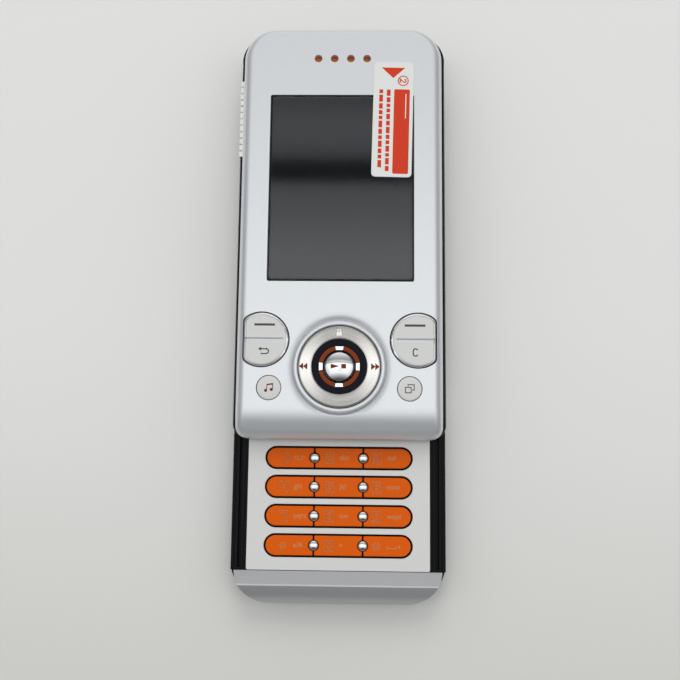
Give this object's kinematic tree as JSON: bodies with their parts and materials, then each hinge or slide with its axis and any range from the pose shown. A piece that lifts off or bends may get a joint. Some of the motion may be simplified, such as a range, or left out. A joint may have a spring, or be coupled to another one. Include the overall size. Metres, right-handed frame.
{
  "type": "slider phone",
  "caption": "Slider phone lying open on its back: silver upper half with display and round navigation control, sliding on a lower half with an orange keypad.",
  "frame": {"origin": "middle of the lower half's flat back, on the battery cover; the upper half is drawn slid open", "axes": "+X to the phone's right, +Y towards the earpiece, +Z out of the display"},
  "size_m": [0.0474, 0.1297, 0.0149],
  "materials": {
    "silver_paint": "silver painted moulding, satin",
    "black_plastic": "black moulding, satin",
    "white_plastic": "warm white moulding, satin",
    "grey_plastic": "grey moulding, satin",
    "cream_plastic": "cream carrier, matt",
    "orange_plastic": "orange, through-coloured",
    "chrome_trim": "bright plated trim",
    "brushed_ring": "circular brushed",
    "dark_glass": "dark tinted, polished",
    "clear_film": "thin clear film",
    "display_cell": "dark unlit display",
    "sheet_steel": "pressed sheet, dull",
    "circuit_board": "green solder mask",
    "amber_film": "polyimide film",
    "gold_plate": "plated contacts",
    "keypad_rubber": "matt rubber"
  },
  "bodies": {
    "base": {"lower_housing": "black_plastic", "left_rail": "black_plastic", "right_rail": "black_plastic", "slide_base_plate": "sheet_steel", "chin_cover": "grey_plastic", "keypad_plate": "white_plastic", "keypad_pips": "chrome_trim", "key_mat": "keypad_rubber", "main_board": "circuit_board", "battery": "grey_plastic", "battery_contacts": "gold_plate", "sim_card": "white_plastic", "sim_holder": "sheet_steel", "camera_module": "black_plastic", "camera_window": "dark_glass", "loudspeaker": "black_plastic", "vibration_motor": "sheet_steel", "antenna": "cream_plastic", "microphone": "sheet_steel", "lower_screws": "sheet_steel"},
    "slider": {"front_cover": "silver_paint", "slider_rear_cover": "black_plastic", "slide_carriage": "sheet_steel", "upper_screws": "sheet_steel", "display_window": "dark_glass", "screen_film": "clear_film", "film_tab": "white_plastic", "display_frame": "sheet_steel", "display_panel": "display_cell", "upper_board": "circuit_board", "upper_dome_sheet": "sheet_steel", "earpiece_mesh": "orange_plastic", "earpiece": "black_plastic", "flex_cable": "amber_film", "system_connector": "sheet_steel", "nav_bezel": "chrome_trim"},
    "nav_pad": {"nav_pad": "keypad_rubber"},
    "nav_ring": {"nav_ring": "brushed_ring", "nav_inlay": "black_plastic"},
    "select_key": {"select_key": "chrome_trim"},
    "left_soft_key": {"left_soft_key": "silver_paint"},
    "right_soft_key": {"right_soft_key": "silver_paint"},
    "left_round_key": {"left_round_key": "silver_paint"},
    "right_round_key": {"right_round_key": "silver_paint"},
    "power_key": {"power_key": "black_plastic"},
    "volume_key": {"volume_key": "black_plastic"},
    "camera_key": {"camera_key": "black_plastic"},
    "battery_cover": {"battery_cover": "silver_paint"},
    "key_1": {"key_1": "orange_plastic"},
    "key_2": {"key_2": "orange_plastic"},
    "key_3": {"key_3": "orange_plastic"},
    "key_4": {"key_4": "orange_plastic"},
    "key_5": {"key_5": "orange_plastic"},
    "key_6": {"key_6": "orange_plastic"},
    "key_7": {"key_7": "orange_plastic"},
    "key_8": {"key_8": "orange_plastic"},
    "key_9": {"key_9": "orange_plastic"},
    "key_star": {"key_star": "orange_plastic"},
    "key_0": {"key_0": "orange_plastic"},
    "key_hash": {"key_hash": "orange_plastic"}
  },
  "joints": [
    {"name": "open_slide", "type": "slide", "parent": "base", "child": "slider", "axis": [0, 1, 0], "range_m": [-0.0309, 0]},
    {"name": "nav_left_right", "type": "hinge", "parent": "slider", "child": "nav_pad", "pos_m": [0, 0.0018, 0.0119], "axis": [0, 1, 0], "range_deg": [-2, 2], "stiffness_Nm_per_rad": 0.2},
    {"name": "nav_up_down", "type": "hinge", "parent": "nav_pad", "child": "nav_ring", "pos_m": [0, 0.0018, 0.0119], "axis": [1, 0, 0], "range_deg": [-2, 2], "stiffness_Nm_per_rad": 0.2},
    {"name": "select_press", "type": "slide", "parent": "slider", "child": "select_key", "axis": [0, 0, -1], "range_m": [0, 0.0003], "stiffness_N_per_m": 2500, "springref_m": -0.0003},
    {"name": "left_soft_rock", "type": "hinge", "parent": "slider", "child": "left_soft_key", "pos_m": [-0.01705, 0.00765, 0.0122], "axis": [1, 0, 0], "range_deg": [-2, 2], "stiffness_Nm_per_rad": 0.2},
    {"name": "right_soft_rock", "type": "hinge", "parent": "slider", "child": "right_soft_key", "pos_m": [0.01705, 0.00765, 0.0122], "axis": [1, 0, 0], "range_deg": [-2, 2], "stiffness_Nm_per_rad": 0.2},
    {"name": "left_round_press", "type": "slide", "parent": "slider", "child": "left_round_key", "axis": [0, 0, -1], "range_m": [0, 0.0003], "stiffness_N_per_m": 2500, "springref_m": -0.0003},
    {"name": "right_round_press", "type": "slide", "parent": "slider", "child": "right_round_key", "axis": [0, 0, -1], "range_m": [0, 0.0003], "stiffness_N_per_m": 2500, "springref_m": -0.0003},
    {"name": "power_press", "type": "slide", "parent": "slider", "child": "power_key", "axis": [0, -1, 0], "range_m": [0, 0.0003], "stiffness_N_per_m": 2500, "springref_m": -0.0003},
    {"name": "camera_press", "type": "slide", "parent": "base", "child": "camera_key", "axis": [-1, 0, 0], "range_m": [0, 0.0003], "stiffness_N_per_m": 2500, "springref_m": -0.0003},
    {"name": "volume_rock", "type": "hinge", "parent": "base", "child": "volume_key", "pos_m": [0.0221, 0.0262, 0.0031], "axis": [0, 0, 1], "range_deg": [-2, 2], "stiffness_Nm_per_rad": 0.2},
    {"name": "battery_cover_slide", "type": "slide", "parent": "base", "child": "battery_cover", "axis": [0, -1, 0], "range_m": [0, 0.006]},
    {"name": "key_1_press", "type": "slide", "parent": "base", "child": "key_1", "axis": [0, 0, -1], "range_m": [0, 0.0003], "stiffness_N_per_m": 2500, "springref_m": -0.0003},
    {"name": "key_2_press", "type": "slide", "parent": "base", "child": "key_2", "axis": [0, 0, -1], "range_m": [0, 0.0003], "stiffness_N_per_m": 2500, "springref_m": -0.0003},
    {"name": "key_3_press", "type": "slide", "parent": "base", "child": "key_3", "axis": [0, 0, -1], "range_m": [0, 0.0003], "stiffness_N_per_m": 2500, "springref_m": -0.0003},
    {"name": "key_4_press", "type": "slide", "parent": "base", "child": "key_4", "axis": [0, 0, -1], "range_m": [0, 0.0003], "stiffness_N_per_m": 2500, "springref_m": -0.0003},
    {"name": "key_5_press", "type": "slide", "parent": "base", "child": "key_5", "axis": [0, 0, -1], "range_m": [0, 0.0003], "stiffness_N_per_m": 2500, "springref_m": -0.0003},
    {"name": "key_6_press", "type": "slide", "parent": "base", "child": "key_6", "axis": [0, 0, -1], "range_m": [0, 0.0003], "stiffness_N_per_m": 2500, "springref_m": -0.0003},
    {"name": "key_7_press", "type": "slide", "parent": "base", "child": "key_7", "axis": [0, 0, -1], "range_m": [0, 0.0003], "stiffness_N_per_m": 2500, "springref_m": -0.0003},
    {"name": "key_8_press", "type": "slide", "parent": "base", "child": "key_8", "axis": [0, 0, -1], "range_m": [0, 0.0003], "stiffness_N_per_m": 2500, "springref_m": -0.0003},
    {"name": "key_9_press", "type": "slide", "parent": "base", "child": "key_9", "axis": [0, 0, -1], "range_m": [0, 0.0003], "stiffness_N_per_m": 2500, "springref_m": -0.0003},
    {"name": "key_star_press", "type": "slide", "parent": "base", "child": "key_star", "axis": [0, 0, -1], "range_m": [0, 0.0003], "stiffness_N_per_m": 2500, "springref_m": -0.0003},
    {"name": "key_0_press", "type": "slide", "parent": "base", "child": "key_0", "axis": [0, 0, -1], "range_m": [0, 0.0003], "stiffness_N_per_m": 2500, "springref_m": -0.0003},
    {"name": "key_hash_press", "type": "slide", "parent": "base", "child": "key_hash", "axis": [0, 0, -1], "range_m": [0, 0.0003], "stiffness_N_per_m": 2500, "springref_m": -0.0003}
  ]
}
